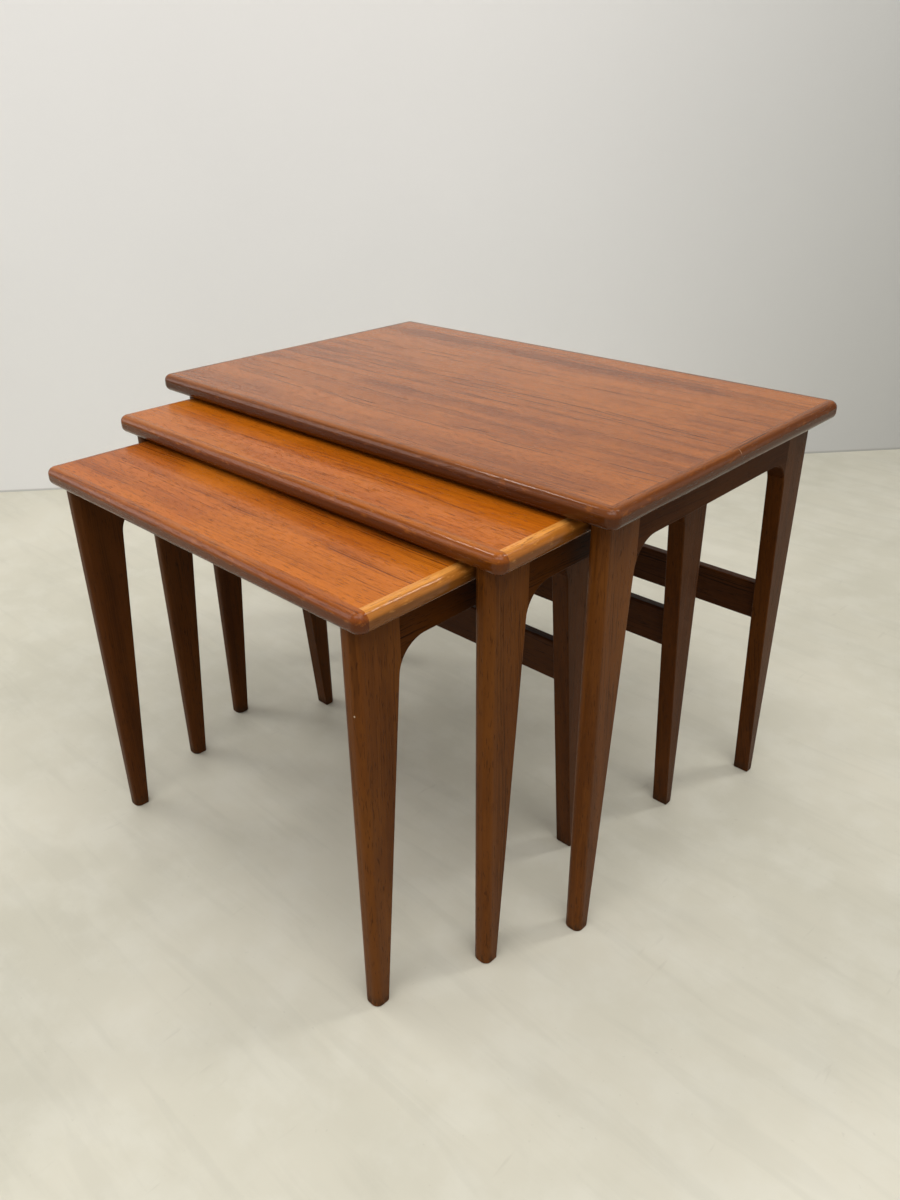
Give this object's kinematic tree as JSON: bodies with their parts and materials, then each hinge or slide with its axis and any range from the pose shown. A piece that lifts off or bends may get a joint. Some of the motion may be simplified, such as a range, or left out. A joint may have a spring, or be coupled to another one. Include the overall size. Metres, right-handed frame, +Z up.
{
  "type": "nesting tables",
  "caption": "Nest of teak side tables with veneered, lipped tops, tapered legs in arched side frames and a rear stretcher each; the smaller ones slide inside the bigger.",
  "frame": {"origin": "on the floor, in the middle of the footprint of the nest as it stands staggered", "axes": "+X along the long side of the tops, +Y towards the rear stretchers, +Z up; the smaller tables slide out towards -Y"},
  "size_m": [0.604, 0.568, 0.448],
  "materials": {
    "teak_veneer": "oiled teak veneer, satin, long grain along X",
    "teak_lipping": "oiled solid teak, satin, grain along each strip",
    "teak_frame": "stained solid teak, satin, grain along each piece",
    "core_board": "raw board",
    "beech_dowel": "raw fluted beech",
    "steel_screw": "dull steel"
  },
  "bodies": {
    "big_table": {"big_top_core": "core_board", "big_top_veneer": "teak_veneer", "big_backing_veneer": "teak_veneer", "big_front_lipping": "teak_lipping", "big_rear_lipping": "teak_lipping", "big_left_lipping": "teak_lipping", "big_right_lipping": "teak_lipping", "big_left_front_leg": "teak_frame", "big_right_front_leg": "teak_frame", "big_left_rear_leg": "teak_frame", "big_right_rear_leg": "teak_frame", "big_left_rail": "teak_frame", "big_right_rail": "teak_frame", "big_rear_stretcher": "teak_frame", "big_dowels": "beech_dowel", "big_top_screws": "steel_screw"},
    "medium_table": {"medium_top_core": "core_board", "medium_top_veneer": "teak_veneer", "medium_backing_veneer": "teak_veneer", "medium_front_lipping": "teak_lipping", "medium_rear_lipping": "teak_lipping", "medium_left_lipping": "teak_lipping", "medium_right_lipping": "teak_lipping", "medium_left_front_leg": "teak_frame", "medium_right_front_leg": "teak_frame", "medium_left_rear_leg": "teak_frame", "medium_right_rear_leg": "teak_frame", "medium_left_rail": "teak_frame", "medium_right_rail": "teak_frame", "medium_rear_stretcher": "teak_frame", "medium_dowels": "beech_dowel", "medium_top_screws": "steel_screw"},
    "small_table": {"small_top_core": "core_board", "small_top_veneer": "teak_veneer", "small_backing_veneer": "teak_veneer", "small_front_lipping": "teak_lipping", "small_rear_lipping": "teak_lipping", "small_left_lipping": "teak_lipping", "small_right_lipping": "teak_lipping", "small_left_front_leg": "teak_frame", "small_right_front_leg": "teak_frame", "small_left_rear_leg": "teak_frame", "small_right_rear_leg": "teak_frame", "small_left_rail": "teak_frame", "small_right_rail": "teak_frame", "small_rear_stretcher": "teak_frame", "small_dowels": "beech_dowel", "small_top_screws": "steel_screw"}
  },
  "joints": [
    {"name": "medium_slide", "type": "slide", "parent": "big_table", "child": "medium_table", "axis": [0, -1, 0], "range_m": [-0.0935, 0.271]},
    {"name": "small_slide", "type": "slide", "parent": "medium_table", "child": "small_table", "axis": [0, -1, 0], "range_m": [-0.1055, 0.221]}
  ]
}
